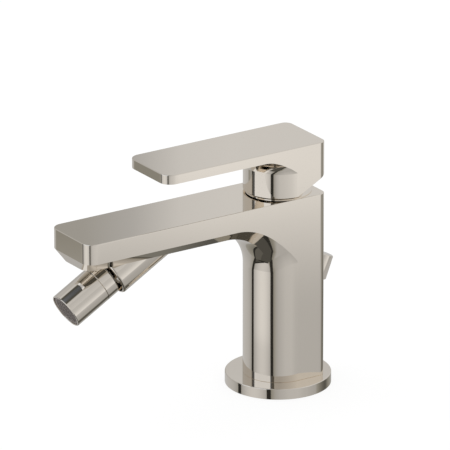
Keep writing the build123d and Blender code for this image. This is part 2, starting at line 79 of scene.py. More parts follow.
class nodeTree:
    def __init__(self, tree):
        self.tree = tree

    def node(self, kind, settings=None, sockets=None, output=0):
        made = self.tree.nodes.new(kind)
        for name, value in (settings or {}).items():
            if name == "stops":
                fillRamp(made.color_ramp, value)
            else:
                setattr(made, name, value)
        for name, value in (sockets or {}).items():
            if isinstance(value, nodeValue):
                self.tree.links.new(value.socket, made.inputs[name])
            else:
                made.inputs[name].default_value = value
        return nodeValue(self, made.outputs[output] if made.outputs else None)


def fillRamp(ramp, stops):
    # greys or colours at places from 0 to 1
    while len(ramp.elements) < len(stops):
        ramp.elements.new(1.0)
    for element, (place, tone) in zip(ramp.elements, stops):
        element.position = place
        element.color = (*tone, 1) if isinstance(tone, tuple) else (tone, tone, tone, 1)


# Meshes

# sides of each kind of round shape
roundness = {"flange": 256, "piece": 160, "boss": 128, "bore": 96, "hole": 64}


def meshPiece(name, vertices, faces, place=None):
    mesh = bpy.data.meshes.new(name)
    mesh.from_pydata([Vector(v) * mm for v in vertices], [], faces)
    if place:
        mesh.transform(place)
    work = bmesh.new()
    work.from_mesh(mesh)
    bmesh.ops.remove_doubles(work, verts=work.verts, dist=1e-7)
    bmesh.ops.recalc_face_normals(work, faces=work.faces)
    work.to_mesh(mesh)
    work.free()
    piece = bpy.data.objects.new(name, mesh)
    bpy.context.scene.collection.objects.link(piece)
    return piece


def bakeModifiers(piece):
    bpy.context.view_layer.update()
    graph = bpy.context.evaluated_depsgraph_get()
    mesh = bpy.data.meshes.new_from_object(piece.evaluated_get(graph))
    piece.modifiers.clear()
    piece.data = mesh


def combine(piece, other, operation):
    step = piece.modifiers.new(operation, "BOOLEAN")
    step.object = other
    step.operation = operation
    step.solver = "EXACT"
    bakeModifiers(piece)
    bpy.data.objects.remove(other)


def smoothFaces(piece, angle=28):
    # round stretches shade smoothly, flats stay truly flat, corners stay sharp
    mesh = piece.data
    mesh.shade_smooth()
    mesh.set_sharp_from_angle(angle=radians(angle))
    weighted = piece.modifiers.new("flats", "WEIGHTED_NORMAL")
    weighted.keep_sharp = True
    weighted.weight = 100
    bakeModifiers(piece)


def turned(name, outline, place=None, segments=roundness["piece"]):
    # a closed (radius, height) outline turned about Z
    vertices = []
    rings = []
    for radius, height in outline:
        if radius < 1e-6:
            rings.append([len(vertices)] * segments)
            vertices.append((0, 0, height))
            continue
        rings.append([len(vertices) + i for i in range(segments)])
        for i in range(segments):
            turn = 2 * pi * i / segments
            vertices.append((radius * cos(turn), radius * sin(turn), height))
    faces = []
    for ring, following in zip(rings, rings[1:] + rings[:1]):
        for i in range(segments):
            j = (i + 1) % segments
            corners = [ring[i], ring[j], following[j], following[i]]
            face = [c for k, c in enumerate(corners) if c not in corners[:k]]
            if len(face) > 2:
                faces.append(face)
    return meshPiece(name, vertices, faces, place)


def arcPoints(centre, radius, first, last, steps):
    # (radius, height) points of an arc, by angles from the radial direction
    turns = [radians(first + (last - first) * i / steps) for i in range(steps + 1)]
    return [(centre[0] + radius * cos(t), centre[1] + radius * sin(t)) for t in turns]


def stacked(name, loops, capTop=True, capBottom=True, place=None):
    # loops of as many points each, joined by quads from the bottom to the top
    count = len(loops[0])
    vertices = [point for loop in loops for point in loop]
    faces = []
    for level in range(len(loops) - 1):
        for i in range(count):
            j = (i + 1) % count
            low = level * count
            faces.append((low + i, low + j, low + count + j, low + count + i))
    if capBottom:
        faces.append(tuple(reversed(range(count))))
    if capTop:
        faces.append(tuple(range((len(loops) - 1) * count, len(loops) * count)))
    return meshPiece(name, vertices, faces, place)


def slantedFrame(origin, direction):
    # a frame whose Z runs along the direction and whose X stays across the mixer
    up = Vector(direction).normalized()
    across = Vector((1, 0, 0))
    ahead = up.cross(across)
    turn = Matrix((across, ahead, up)).transposed().to_4x4()
    return Matrix.Translation(Vector(origin) * mm) @ turn


# Materials

def newMaterial(name):
    material = bpy.data.materials.new(name)
    material.use_nodes = True
    material.node_tree.nodes.clear()
    return material, nodeTree(material.node_tree)


def fineNoise(tree, scale, detail, stretch=(1, 1, 1)):
    place = tree.node("ShaderNodeTexCoord", output="Object")
    place = tree.node("ShaderNodeMapping", {}, {"Vector": place, "Scale": stretch})
    return tree.node("ShaderNodeTexNoise", {}, {"Vector": place, "Scale": scale, "Detail": detail}, "Fac")


def mixColours(tree, share, first, second):
    return tree.node("ShaderNodeMix", {"data_type": "RGBA"},
                     {"Factor": share, "A": (*first, 1), "B": (*second, 1)}, "Result")


def finishMaterial(tree, values, normal=None):
    sockets = dict(values)
    if normal:
        sockets["Normal"] = normal
    shader = tree.node("ShaderNodeBsdfPrincipled", {}, sockets)
    tree.node("ShaderNodeOutputMaterial", {}, {"Surface": shader})


def coatedMetal(name, look):
    material, tree = newMaterial(name)
    cloud = fineNoise(tree, look["cloudScale"], look["cloudDetail"])
    colour = mixColours(tree, cloud, look["colour"], look["otherColour"])
    wipe = fineNoise(tree, look["wipeScale"], look["wipeDetail"], look["wipeStretch"])
    roughness = look["roughness"] + wipe * look["roughnessSpread"]
    peel = fineNoise(tree, look["peelScale"], look["peelDetail"])
    bump = tree.node("ShaderNodeBump", {}, {"Strength": look["peelStrength"],
                                            "Distance": look["peelDepth"] * mm, "Height": peel})
    finishMaterial(tree, {"Base Color": colour, "Metallic": 1.0, "Roughness": roughness}, bump)
    return material


def plainStuff(name, look):
    material, tree = newMaterial(name)
    grain = fineNoise(tree, look["grainScale"], look["grainDetail"])
    colour = mixColours(tree, grain, look["colour"], look["otherColour"])
    roughness = look["roughness"] + grain * look["roughnessSpread"]
    bump = tree.node("ShaderNodeBump", {}, {"Strength": look["grainStrength"],
                                            "Distance": look["grainDepth"] * mm, "Height": grain})
    finishMaterial(tree, {"Base Color": colour, "Metallic": look["metallic"], "Roughness": roughness}, bump)
    return material


nickelLook = {
    "colour": (0.860, 0.797, 0.712),
    "otherColour": (0.845, 0.785, 0.705),
    "cloudScale": 25.0,
    "cloudDetail": 3.0,
    "roughness": 0.035,
    "roughnessSpread": 0.02,
    "wipeScale": 60.0,
    "wipeDetail": 4.0,
    "wipeStretch": (1, 1, 0.15),
    "peelScale": 90.0,
    "peelDetail": 1.0,
    "peelStrength": 0.06,
    "peelDepth": 0.02,
}
brassLook = {**nickelLook, "colour": (0.72, 0.50, 0.22), "otherColour": (0.62, 0.42, 0.18),
             "roughness": 0.22, "roughnessSpread": 0.12}
steelLook = {**nickelLook, "colour": (0.55, 0.55, 0.56), "otherColour": (0.48, 0.48, 0.50),
             "roughness": 0.2, "roughnessSpread": 0.1}
blackPlasticLook = {
    "colour": (0.012, 0.012, 0.012),
    "otherColour": (0.020, 0.019, 0.018),
    "metallic": 0.0,
    "roughness": 0.42,
    "roughnessSpread": 0.15,
    "grainScale": 900.0,
    "grainDetail": 4.0,
    "grainStrength": 0.3,
    "grainDepth": 0.03,
}
whitePlasticLook = {**blackPlasticLook, "colour": (0.70, 0.69, 0.65), "otherColour": (0.64, 0.63, 0.59)}
rubberLook = {**blackPlasticLook, "roughness": 0.65, "grainStrength": 0.5}
ceramicLook = {**whitePlasticLook, "colour": (0.82, 0.81, 0.77), "otherColour": (0.78, 0.77, 0.73),
               "roughness": 0.15, "roughnessSpread": 0.05, "grainStrength": 0.1}
aeratorLook = {**blackPlasticLook, "colour": (0.215, 0.176, 0.162), "otherColour": (0.172, 0.160, 0.148),
               "roughness": 0.38, "roughnessSpread": 0.12}

nickel = coatedMetal("polished_nickel", nickelLook)
brass = coatedMetal("turned_brass", brassLook)
steel = coatedMetal("steel_hardware", steelLook)
blackPlastic = plainStuff("black_plastic", blackPlasticLook)
whitePlastic = plainStuff("white_plastic", whitePlasticLook)
sealRubber = plainStuff("seal_rubber", rubberLook)
ceramic = plainStuff("alumina_ceramic", ceramicLook)
greyAerator = plainStuff("grey_aerator", aeratorLook)
print("materials ready")


def fit(piece, material, body, slot, *nodes):
    # finish, body and the nodes that the piece stands for
    piece.data.materials.clear()
    piece.data.materials.append(material)
    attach(piece, body)
    if nodes:
        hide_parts(*nodes)


# Outlines seen from above: half of the loop, from the middle of the rear to the middle of the tip

casting = {
    "halfWidth": 19.25,
    "rear": 18.8,
    "bottom": 6.0,
    "top": 110.8,
    "reach": 133.7,
    "slabHeight": 11.4,
    "keelDepth": 5.7,
    "keelSideInset": 6.2,
    "keelFrontInset": 2.8,
    "blendRadius": 24.3,
    "blendSteps": 32,
    "keelSteps": 16,
    "frontCorner": 6.4,
    "rearCorner": 4.5,
    "edge": 0.4,
    "seam": 0.15,  # tiny chamfer where the column meets the flange
}
lever = {
    "halfWidth": 19.25,
    "rear": 18.8,
    "bottom": 111.9,
    "top": 140.3,
    "reach": 84.3,
    "slabHeight": 5.3,
    "keelDepth": 0.0,
    "keelSideInset": 0.0,
    "keelFrontInset": 0.0,
    "blendRadius": 9.4,
    "blendSteps": 24,
    "keelSteps": 0,
    "frontCorner": 6.4,
    "rearCorner": 4.5,
    "edge": 0.4,
    "seam": 0.25,
}
loopSteps = {"rear": 12, "corner": 14, "side": 12, "shoulder": 36, "flank": 40, "tip": 10}
edgeTurns = range(0, 91, 15)  # degrees round the slab's top edge


def between(first, last, steps):
    # evenly spaced points after the first one, up to the last
    first = Vector(first)
    last = Vector(last)
    return [first.lerp(last, (i + 1) / steps) for i in range(steps)]


def roundCorner(centre, radius, first, last, steps):
    turns = [radians(first + (last - first) * (i + 1) / steps) for i in range(steps)]
    return [Vector((centre[0] + radius * cos(t), centre[1] + radius * sin(t))) for t in turns]


def hollowReach(size, side, height):
    # how far the post reaches forward at this height, swept out into the keel's flat and bevels
    past = max(0, abs(side) - keelHalf(size))
    climb = size["keelDepth"] * past / size["keelSideInset"] if past and size["keelSideInset"] else 0
    ceiling = size["top"] - size["slabHeight"] - size["keelDepth"] + climb
    radius = size["blendRadius"]
    rise = min(1, max(0, (height - ceiling + radius) / radius))
    return size["halfWidth"] + radius * (1 - sqrt(1 - rise ** 2))


def frontCurve(size, height, inset, fromX, toX, steps):
    # along the front of the post, from one sideways place to another
    half = size["halfWidth"] - inset
    first = asin(min(1, fromX / half))
    last = asin(min(1, toX / half))
    points = []
    for i in range(steps):
        x = half * sin(first + (last - first) * (i + 1) / steps)
        points.append(frontPoint(size, height, inset, x))
    return points


def frontPoint(size, height, inset, x):
    reach = hollowReach(size, x, height) - inset
    return Vector((x, -sqrt(max(0, reach ** 2 - x ** 2))))


def halfLoop(size, height, keelWidth, tip, inset=0):
    # keelWidth None: no slab ahead of the post at this height
    half = size["halfWidth"] - inset
    rear = size["rear"] - inset
    corner = size["rearCorner"]
    shoulderX = min(half, keelHalf(size) if keelWidth is None else keelWidth - inset)
    rearCorner = (size["halfWidth"] - corner, size["rear"] - corner)
    points = [Vector((0, rear))]
    points += between(points[-1], (rearCorner[0], rear), loopSteps["rear"])
    points += roundCorner(rearCorner, corner - inset, 90, 0, loopSteps["corner"])
    frontInset = inset if keelWidth is None else 0
    points += between(points[-1], (half, 0), loopSteps["side"])
    points += between(points[-1], frontPoint(size, height, frontInset, half), loopSteps["side"])
    points += frontCurve(size, height, frontInset, half, shoulderX, loopSteps["shoulder"])
    steps = loopSteps["flank"] + loopSteps["corner"] + loopSteps["tip"]
    if keelWidth is None:
        points += frontCurve(size, height, frontInset, shoulderX, 0, steps)
        return points
    corner = size["frontCorner"]
    tipCorner = (keelWidth - corner, corner - tip)
    points += between(points[-1], (shoulderX, tipCorner[1]), loopSteps["flank"])
    points += roundCorner(tipCorner, corner - inset, 0, -90, loopSteps["corner"])
    points += between(points[-1], (0, inset - tip), loopSteps["tip"])
    return points


def keelHalf(size):
    return size["halfWidth"] - size["keelSideInset"]


def wholeLoop(half, height):
    # both halves at one height, or at a height that depends on the place
    points = half + [Vector((-p.x, p.y)) for p in half[-2:0:-1]]
    return [(p.x, p.y, height(p.y) if callable(height) else height) for p in points]


def slabOnPost(size, bottomHeight=None):
    # the post, its hollow blend, the keel and the slab, as loops from the bottom to the top
    half = size["halfWidth"]
    radius = size["blendRadius"]
    slabBottom = size["top"] - size["slabHeight"]
    keelBottom = slabBottom - size["keelDepth"]
    bottom = bottomHeight or (lambda y: size["bottom"])
    loops = [
        wholeLoop(halfLoop(size, size["bottom"], None, 0, size["seam"]), bottom),
        wholeLoop(halfLoop(size, size["bottom"], None, 0), lambda y: bottom(y) + size["seam"]),
    ]
    for step in range(size["blendSteps"] + 1):
        height = keelBottom - radius + radius * sin(pi / 2 * step / size["blendSteps"])
        loops.append(wholeLoop(halfLoop(size, height, None, 0), height))
    keelTurn = asin(1 - size["keelDepth"] / radius)
    for step in range(size["keelSteps"] + 1):
        turn = keelTurn + (pi / 2 - keelTurn) * step / max(1, size["keelSteps"])
        height = slabBottom - radius + radius * sin(turn) if size["keelSteps"] else slabBottom
        grown = (height - keelBottom) / size["keelDepth"] if size["keelSteps"] else 1
        width = half - size["keelSideInset"] * (1 - grown)
        tip = size["reach"] - size["keelFrontInset"] * (1 - grown)
        loops.append(wholeLoop(halfLoop(size, height, width, tip), height))
    for turn in edgeTurns:
        inset = size["edge"] * (1 - cos(radians(turn)))
        height = size["top"] - size["edge"] * (1 - sin(radians(turn)))
        loops.append(wholeLoop(halfLoop(size, height, half, size["reach"], inset), height))
    return loops


# Casting

bores = {
    "spigotRadius": 16.6,
    "spigotBottom": 0.6,
    "cartridgeRadius": 15.0,
    "cartridgeFloor": 84.0,
    "nutRadius": 16.0,
    "nutFloor": 105.8,
    "studRadius": 3.4,
    "studDepth": 16.0,
    "studPlace": (0, -10.5),
    "hoseRadius": 4.5,
    "hoseDepth": 12.0,
    "hosePlaces": [(8.2, -2.0), (-8.2, -2.0)],
    "overrun": 2.0,  # how far a cutter reaches past the surface it opens
}
nozzle = {
    "angle": 29.6,
    "ballPlace": (0, -113.5, 81.5),
    "bossRadius": 12.7,
    "bossFace": 5.1,
    "bossRim": 1.2,
    "rimSteps": 8,
    "bossTop": 105.0,  # height where the boss ends inside the slab
    "pocketRadius": 11.3,
    "pocketFloor": 10.1,
    "shankRadius": 7.05,
    "shankEnd": 16.15,
}
popUp = {
    "tilt": 21.5,
    "foot": (0, 24.5, 55.4),
    "knobRadius": 5.7,
    "knobLength": 13.6,
    "knobEdge": 0.4,
    "knobSocket": 8.0,
    "rodRadius": 2.0,
    "rodLength": 57.69,
    "rodBore": 2.5,
    "rodBoreEnd": 61.7,
    "bushBore": 3.23,
    "bushTop": -2.35,
    "bushEnd": -27.55,
    "rodGap": 0.03,
    "rodEndGap": 0.01,
    "smoothAngle": 50,
}
slant = radians(nozzle["angle"])
nozzleFrame = slantedFrame(nozzle["ballPlace"], (0, cos(slant), sin(slant)))
tilt = radians(popUp["tilt"])
rodFrame = slantedFrame(popUp["foot"], (0, sin(tilt), cos(tilt)))


def cylinder(name, radius, low, high, x=0, y=0):
    move = Matrix.Translation(Vector((x, y, 0)) * mm)
    return turned(name, [(0, low), (radius, low), (radius, high), (0, high)], move, roundness["hole"])


def bossSolid():
    # a slanted round boss with a rounded rim, cut level inside the slab
    size = nozzle
    rim = arcPoints((size["bossRadius"] - size["bossRim"], size["bossFace"] + size["bossRim"]),
                    size["bossRim"], -90, 0, size["rimSteps"])
    segments = roundness["boss"]
    local = [[(r * cos(2 * pi * i / segments), r * sin(2 * pi * i / segments), h)
              for i in range(segments)] for r, h in rim]
    loops = [[nozzleFrame @ (Vector(p) * mm) / mm for p in loop] for loop in local]
    axis = Vector((0, cos(slant), sin(slant)))
    top = [p + axis * ((size["bossTop"] - p.z) / axis.z) for p in loops[-1]]
    return stacked("boss", loops + [top])


def makeCasting():
    loops = slabOnPost(casting)
    foot = loops[0]
    spigot = []
    for x, y, _ in foot:
        turn = atan2(y, x)
        spigot.append((bores["spigotRadius"] * cos(turn), bores["spigotRadius"] * sin(turn)))
    low = [(x, y, bores["spigotBottom"]) for x, y in spigot]
    high = [(x, y, casting["bottom"]) for x, y in spigot]
    body = stacked("mixer_body_cast", [low, high] + loops)
    combine(body, bossSolid(), "UNION")
    pocketMouth = nozzle["bossFace"] - bores["overrun"]
    pocket = [
        (0, pocketMouth), (nozzle["pocketRadius"], pocketMouth),
        (nozzle["pocketRadius"], nozzle["pocketFloor"]), (nozzle["shankRadius"], nozzle["pocketFloor"]),
        (nozzle["shankRadius"], nozzle["shankEnd"]), (0, nozzle["shankEnd"]),
    ]
    combine(body, turned("pocket", pocket, nozzleFrame, roundness["boss"]), "DIFFERENCE")
    rodWay = [
        (0, -popUp["rodBoreEnd"]), (popUp["rodBore"], -popUp["rodBoreEnd"]),
        (popUp["rodBore"], popUp["bushEnd"]), (popUp["bushBore"], popUp["bushEnd"]),
        (popUp["bushBore"], popUp["bushTop"]), (0, popUp["bushTop"]),
    ]
    combine(body, turned("rod_way", rodWay, rodFrame, roundness["hole"]), "DIFFERENCE")
    above = casting["top"] + bores["overrun"]
    cartridgeWay = [
        (0, bores["cartridgeFloor"]), (bores["cartridgeRadius"], bores["cartridgeFloor"]),
        (bores["cartridgeRadius"], bores["nutFloor"]), (bores["nutRadius"], bores["nutFloor"]),
        (bores["nutRadius"], above), (0, above),
    ]
    combine(body, turned("cartridge_way", cartridgeWay, None, roundness["bore"]), "DIFFERENCE")
    below = bores["spigotBottom"] - bores["overrun"]
    stud = cylinder("stud", bores["studRadius"], below, bores["spigotBottom"] + bores["studDepth"],
                    *bores["studPlace"])
    combine(body, stud, "DIFFERENCE")
    for x, y in bores["hosePlaces"]:
        hose = cylinder("hose", bores["hoseRadius"], below, bores["spigotBottom"] + bores["hoseDepth"], x, y)
        combine(body, hose, "DIFFERENCE")
    smoothFaces(body)
    return body


fit(makeCasting(), nickel, "mixer", "polished_nickel", "mixer_body")
print("casting ready")


# Flange

flange = {
    "radius": 29.0,
    "height": 6.0,
    "bore": 16.9,
    "sealOuter": 26.5,
    "sealInner": 23.5,
    "sealHeight": 2.0,
    "edge": 0.4,
    "edgeSteps": 6,
}


def makeFlange():
    size = flange
    middle = (size["radius"] - size["edge"], size["height"] - size["edge"])
    edge = arcPoints(middle, size["edge"], 0, 90, size["edgeSteps"])
    outline = [
        (size["bore"], 0), (size["sealInner"], 0), (size["sealInner"], size["sealHeight"]),
        (size["sealOuter"], size["sealHeight"]), (size["sealOuter"], 0), (size["radius"], 0),
        *edge, (size["bore"], size["height"]),
    ]
    plate = turned("base_flange_ring", outline, None, roundness["flange"])
    smoothFaces(plate)
    return plate


fit(makeFlange(), nickel, "mixer", "polished_nickel", "base_flange")


# Lever

leverHub = {
    "boreRadius": 15.2,
    "roof": 123.8,
    "riseAngle": 27.6,
    "socketHalf": 3.55,
    "socketTop": 136.3,
    "capHeight": 129.4,
    "capRadius": 3.05,
    "capDepth": 2.0,
    "capGap": 0.05,
    "capEdge": 0.2,
    "screwRadius": 2.55,
    "overrun": 1.0,
}


def makeLever():
    size = leverHub
    rise = sin(radians(size["riseAngle"])) / cos(radians(size["riseAngle"]))

    def underside(y):
        return lever["bottom"] + max(0, y) * rise

    loops = slabOnPost(lever, underside)
    mouth = []
    for x, y, _ in loops[0]:
        turn = atan2(y, x)
        place = (size["boreRadius"] * cos(turn), size["boreRadius"] * sin(turn))
        mouth.append((*place, underside(place[1])))
    roof = [(x, y, size["roof"]) for x, y, _ in mouth]
    handle = stacked("lever_handle_cast", [roof, mouth] + loops)
    half = size["socketHalf"]
    corners = [(half, half), (-half, half), (-half, -half), (half, -half)]
    heights = (size["roof"] - size["overrun"], size["socketTop"])
    socket = stacked("socket", [[(x, y, height) for x, y in corners] for height in heights])
    combine(handle, socket, "DIFFERENCE")
    rearFrame = slantedFrame((0, 0, size["capHeight"]), (0, 1, 0))
    rear = lever["rear"]
    outside = rear + size["overrun"]
    capWay = [
        (0, 0), (size["screwRadius"], 0), (size["screwRadius"], rear - size["capDepth"]),
        (size["capRadius"], rear - size["capDepth"]), (size["capRadius"], outside), (0, outside),
    ]
    combine(handle, turned("cap_way", capWay, rearFrame, roundness["hole"]), "DIFFERENCE")
    smoothFaces(handle)
    return handle


fit(makeLever(), nickel, "lever", "polished_nickel", "lever_handle")


def makeScrewCap():
    size = leverHub
    radius = size["capRadius"] - size["capGap"]
    edge = size["capEdge"]
    rear = lever["rear"]
    outline = [(0, rear - size["capDepth"]), (radius, rear - size["capDepth"]),
               (radius, rear - edge), (radius - edge, rear), (0, rear)]
    place = slantedFrame((0, 0, size["capHeight"]), (0, 1, 0))
    cap = turned("screw_cap_disc", outline, place, roundness["hole"])
    smoothFaces(cap)
    return cap


fit(makeScrewCap(), nickel, "lever", "polished_nickel", "screw_cap")
print("lever ready")


# Trim dome in the gap under the hub

dome = {
    "centre": 108.8,
    "radius": 14.3,
    "wall": 1.0,
    "opening": 10.2,
    "plateRadius": 18.2,
    "plateTop": 111.3,
    "plateBottom": 110.8,
    "skirtOuter": 15.9,
    "skirtInner": 14.9,
    "skirtBottom": 110.0,
    "edge": 0.15,
    "steps": 20,
}


def sphereOutline(centre, radius, firstHeight, lastHeight, steps):
    first = degrees(asin((firstHeight - centre) / radius))
    last = degrees(asin((lastHeight - centre) / radius))
    return arcPoints((0, centre), radius, first, last, steps)


def makeDome():
    size = dome
    inner = size["radius"] - size["wall"]
    rimTop = size["centre"] + sqrt(size["radius"] ** 2 - size["opening"] ** 2)
    rimBottom = size["centre"] + sqrt(inner ** 2 - size["opening"] ** 2)
    outline = [
        (size["plateRadius"], size["plateBottom"]), (size["plateRadius"], size["plateTop"] - size["edge"]),
        (size["plateRadius"] - size["edge"], size["plateTop"]),
        *sphereOutline(size["centre"], size["radius"], size["plateTop"], rimTop, size["steps"]),
        *sphereOutline(size["centre"], inner, rimBottom, size["plateBottom"], size["steps"]),
        (size["skirtInner"], size["plateBottom"]), (size["skirtInner"], size["skirtBottom"]),
        (size["skirtOuter"], size["skirtBottom"]), (size["skirtOuter"], size["plateBottom"]),
    ]
    shell = turned("cover_dome_shell", outline)
    smoothFaces(shell)
    return shell


fit(makeDome(), nickel, "mixer", "polished_nickel", "cover_dome")


# Swivel nozzle, in its own frame

swivel = {
    "radius": 10.15,
    "ringTop": 3.5,
    "ringBottom": -3.7,
    "ringEdge": 0.8,
    "ringSteps": 8,
    "cavity": 8.4,
    "cavitySteps": 10,
    "spigotOuter": 9.2,
    "spigotInner": 8.45,
    "spigotEnd": -9.4,
    "seamEdge": 0.20,
    "sleeveTop": -3.8,
    "sleeveEnd": -25.9,
    "sleeveThread": 9.25,
    "ledgeTop": -9.4,
    "ledgeBottom": -16.3,
    "ledgeRadius": 7.4,
    "aeratorBore": 9.2,
    "rimEdge": 0.25,
}


def makeRing():
    size = swivel
    outline = [
        *sphereOutline(0, size["cavity"], size["ringTop"], 0, size["cavitySteps"]),
        (size["spigotInner"], 0), (size["spigotInner"], size["spigotEnd"]),
        (size["spigotOuter"], size["spigotEnd"]), (size["spigotOuter"], size["ringBottom"]),
        (size["radius"] - size["seamEdge"], size["ringBottom"]),
        (size["radius"], size["ringBottom"] + size["seamEdge"]),
        *arcPoints((size["radius"] - size["ringEdge"], size["ringTop"] - size["ringEdge"]),
                   size["ringEdge"], 0, 90, size["ringSteps"]),
    ]
    ring = turned("socket_ring_turned", outline, nozzleFrame)
    smoothFaces(ring)
    return ring


def makeSleeve():
    size = swivel
    outline = [
        (size["sleeveThread"], size["sleeveTop"]), (size["sleeveThread"], size["ledgeTop"]),
        (size["ledgeRadius"], size["ledgeTop"]), (size["ledgeRadius"], size["ledgeBottom"]),
        (size["aeratorBore"], size["ledgeBottom"]),
        (size["aeratorBore"], size["sleeveEnd"] + size["rimEdge"]),
        (size["aeratorBore"] + size["rimEdge"] / 2, size["sleeveEnd"]),
        (size["radius"] - size["rimEdge"], size["sleeveEnd"]),
        (size["radius"], size["sleeveEnd"] + size["rimEdge"]),
        (size["radius"], size["sleeveTop"] - size["seamEdge"]),
        (size["radius"] - size["seamEdge"], size["sleeveTop"]),
    ]
    sleeve = turned("nozzle_sleeve_turned", outline, nozzleFrame)
    smoothFaces(sleeve)
    return sleeve


fit(makeRing(), nickel, "nozzle", "polished_nickel", "socket_ring")
fit(makeSleeve(), nickel, "nozzle", "polished_nickel", "nozzle_sleeve")


# Aerator: a cup whose face is pierced by a honeycomb

aerator = {
    "radius": 9.1,
    "wall": 0.9,
    "top": -18.0,
    "face": -25.3,
    "faceThickness": 1.6,
    "pitch": 0.92,
    "cell": 0.74,  # across the flats of a cell
    "rim": 0.9,
    "rows": 12,  # rows of cells on each side of the middle, before those past the rim go
    "smoothAngle": 30,
}


def honeycombTree(material):
    # cuts six-sided cells on a triangular lattice out of the geometry that comes in
    group = bpy.data.node_groups.new("honeycomb", "GeometryNodeTree")
    group.interface.new_socket("Geometry", in_out="INPUT", socket_type="NodeSocketGeometry")
    inputs = {}
    for name in ("Pitch", "Cell radius", "Field radius", "Depth", "Height"):
        socket = group.interface.new_socket(name, in_out="INPUT", socket_type="NodeSocketFloat")
        inputs[name] = socket.identifier
    group.interface.new_socket("Geometry", in_out="OUTPUT", socket_type="NodeSocketGeometry")
    tree = nodeTree(group)
    entry = tree.node("NodeGroupInput").socket.node

    def given(name):
        return nodeValue(tree, entry.outputs[name])

    rowPitch = given("Pitch") * (sqrt(3) / 2)
    half = aerator["rows"]
    count = 2 * half + 1
    grid = tree.node("GeometryNodeMeshGrid", {}, {
        "Size X": given("Pitch") * (2 * half), "Size Y": rowPitch * (2 * half),
        "Vertices X": count, "Vertices Y": count,
    }, "Mesh")
    place = tree.node("GeometryNodeInputPosition")
    ahead = tree.node("ShaderNodeSeparateXYZ", {}, {0: place}, "Y")
    row = tree.node("ShaderNodeMath", {"operation": "ROUND"}, {0: ahead / rowPitch})
    odd = tree.node("ShaderNodeMath", {"operation": "FLOORED_MODULO"}, {0: row, 1: 2.0})
    shift = tree.node("ShaderNodeCombineXYZ", {}, {"X": odd * given("Pitch") * 0.5, "Z": given("Height")})
    grid = tree.node("GeometryNodeSetPosition", {}, {"Geometry": grid, "Offset": shift})
    flat = tree.node("ShaderNodeVectorMath", {"operation": "MULTIPLY"}, {0: place, 1: (1, 1, 0)})
    distance = tree.node("ShaderNodeVectorMath", {"operation": "LENGTH"}, {0: flat}, "Value")
    outside = tree.node("FunctionNodeCompare", {"data_type": "FLOAT", "operation": "GREATER_THAN"},
                        {"A": distance, "B": given("Field radius")}, "Result")
    grid = tree.node("GeometryNodeDeleteGeometry", {"domain": "POINT"},
                     {"Geometry": grid, "Selection": outside})
    cell = tree.node("GeometryNodeMeshCylinder", {}, {
        "Vertices": 6, "Radius": given("Cell radius"), "Depth": given("Depth"),
    }, "Mesh")
    cells = tree.node("GeometryNodeInstanceOnPoints", {}, {"Points": grid, "Instance": cell})
    cells = tree.node("GeometryNodeRealizeInstances", {}, {"Geometry": cells})
    cut = tree.node("GeometryNodeMeshBoolean", {"operation": "DIFFERENCE", "solver": "EXACT"},
                    {"Mesh 1": given("Geometry"), "Mesh 2": cells}, "Mesh")
    made = tree.node("GeometryNodeRealizeInstances", {}, {"Geometry": cut})
    made = tree.node("GeometryNodeSetMaterial", {}, {"Geometry": made, "Material": material})
    tree.node("NodeGroupOutput", {}, {"Geometry": made})
    return group, inputs


def makeAerator():
    size = aerator
    inner = size["radius"] - size["wall"]
    faceTop = size["face"] + size["faceThickness"]
    outline = [(0, size["face"]), (size["radius"], size["face"]), (size["radius"], size["top"]),
               (inner, size["top"]), (inner, faceTop), (0, faceTop)]
    cup = turned("aerator_insert_cup", outline, None, roundness["bore"])
    group, inputs = honeycombTree(greyAerator)
    holes = cup.modifiers.new("honeycomb", "NODES")
    holes.node_group = group
    holes[inputs["Pitch"]] = size["pitch"] * mm
    holes[inputs["Cell radius"]] = size["cell"] / sqrt(3) * mm
    holes[inputs["Field radius"]] = (size["radius"] - size["rim"] - size["cell"] / 2) * mm
    holes[inputs["Depth"]] = 3 * size["faceThickness"] * mm  # right through the face
    holes[inputs["Height"]] = (size["face"] + size["faceThickness"] / 2) * mm
    bakeModifiers(cup)
    cup.data.transform(nozzleFrame)
    cup.data.shade_smooth()
    cup.data.set_sharp_from_angle(angle=radians(size["smoothAngle"]))
    return cup


fit(makeAerator(), greyAerator, "nozzle", "grey_aerator", "aerator_insert")
print("nozzle ready")


# Pop-up knob and rod, in the rod's frame

def makeKnob():
    size = popUp
    radius = size["knobRadius"]
    edge = size["knobEdge"]
    bore = size["rodRadius"] + size["rodGap"]
    outline = [
        (0, size["knobSocket"]), (bore, size["knobSocket"]), (bore, 0),
        (radius - edge, 0), (radius, edge), (radius, size["knobLength"] - edge),
        (radius - edge, size["knobLength"]), (0, size["knobLength"]),
    ]
    knob = turned("lift_knob_turned", outline, rodFrame, roundness["boss"])
    smoothFaces(knob, size["smoothAngle"])
    return knob


def makeRod():
    size = popUp
    end = size["knobSocket"] - size["rodEndGap"]
    outline = [(0, -size["rodLength"]), (size["rodRadius"], -size["rodLength"]),
               (size["rodRadius"], end), (0, end)]
    rod = turned("lift_rod_turned", outline, rodFrame, roundness["hole"])
    smoothFaces(rod)
    return rod


fit(makeKnob(), nickel, "pop_up", "polished_nickel", "lift_knob")
fit(makeRod(), nickel, "pop_up", "polished_nickel", "lift_rod")
print("pop-up ready")


# Nodes carried over from the frame

